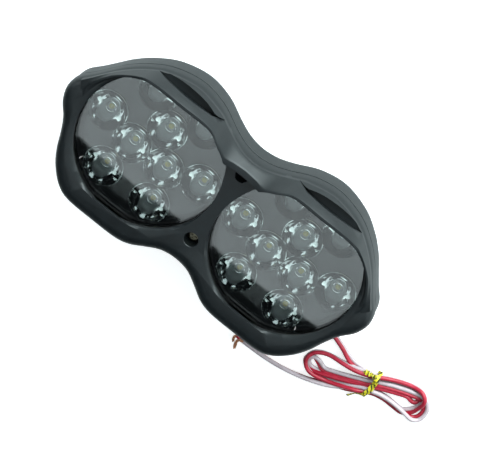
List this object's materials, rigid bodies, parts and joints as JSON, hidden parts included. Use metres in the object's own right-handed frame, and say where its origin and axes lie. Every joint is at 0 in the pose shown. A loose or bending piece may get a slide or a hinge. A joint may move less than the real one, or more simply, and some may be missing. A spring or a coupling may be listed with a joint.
{
  "type": "motorcycle driving lamp",
  "caption": "Twin-chamber auxiliary driving lamp with clear round windows over lens clusters, visors, a tilting rear stay and a tied two-core lead.",
  "frame": {"origin": "on the surface the lamp lies on, under the middle of the lamp's own length and width (lead left out)", "axes": "+X along the lamp from one window to the other, +Y towards the visors, +Z out of the windows"},
  "size_m": [0.2416, 0.1188, 0.052],
  "materials": {
    "shell": "moulded black nylon, finely textured",
    "rubber": "matte black rubber",
    "clear": "clear polycarbonate, glossy",
    "optic": "clear acrylic optic, polished",
    "holder": "black plastic, satin",
    "board": "aluminium-core board with white solder mask",
    "aluminium": "plain, as rolled",
    "led": "pale package with yellow phosphor",
    "steel": "zinc plated",
    "driver": "green solder mask on glass-fibre board",
    "component": "black moulded body",
    "lead_red": "red PVC insulation, satin",
    "lead_pale": "translucent white PVC insulation, pinkish beside the red core",
    "tie": "yellow and black plastic-coated wire",
    "copper": "bare stranded copper"
  },
  "bodies": {
    "lamp": {"bare_end_red": "copper", "bare_end_white": "copper", "board_screw_left_1": "steel", "board_screw_left_2": "steel", "board_screw_right_1": "steel", "board_screw_right_2": "steel", "body_gasket": "rubber", "cable_gland": "rubber", "centre_screw": "steel", "clear_cover_left": "clear", "clear_cover_right": "clear", "cover_gasket_left": "rubber", "cover_gasket_right": "rubber", "driver_board": "driver", "driver_capacitor": "aluminium", "driver_chip": "component", "driver_inductor": "component", "front_bezel": "shell", "heat_plate_left": "aluminium", "heat_plate_right": "aluminium", "inner_lead": "lead_red", "lead_hank": "lead_red", "lead_out": "lead_red", "lead_tail": "lead_pale", "led_board_left": "board", "led_board_right": "board", "led_left_1": "led", "led_left_2": "led", "led_left_3": "led", "led_left_4": "led", "led_left_5": "led", "led_left_6": "led", "led_left_7": "led", "led_left_8": "led", "led_left_9": "led", "led_right_1": "led", "led_right_2": "led", "led_right_3": "led", "led_right_4": "led", "led_right_5": "led", "led_right_6": "led", "led_right_7": "led", "led_right_8": "led", "led_right_9": "led", "lens_array_left": "optic", "lens_array_right": "optic", "lens_holder_left": "holder", "lens_holder_right": "holder", "link_lead": "lead_red", "pivot_bolt": "steel", "pivot_nut": "steel", "pivot_washer_left": "steel", "pivot_washer_right": "steel", "rear_housing": "shell", "rear_screw_1": "steel", "rear_screw_2": "steel", "rear_screw_3": "steel", "rear_screw_4": "steel", "twist_tie": "tie"},
    "stay": {"mounting_stay": "steel"}
  },
  "joints": [
    {"name": "stay_tilt", "type": "hinge", "parent": "lamp", "child": "stay", "pos_m": [0, 0.01908, 0.0065], "axis": [1, 0, 0], "range_deg": [0, 180]}
  ]
}
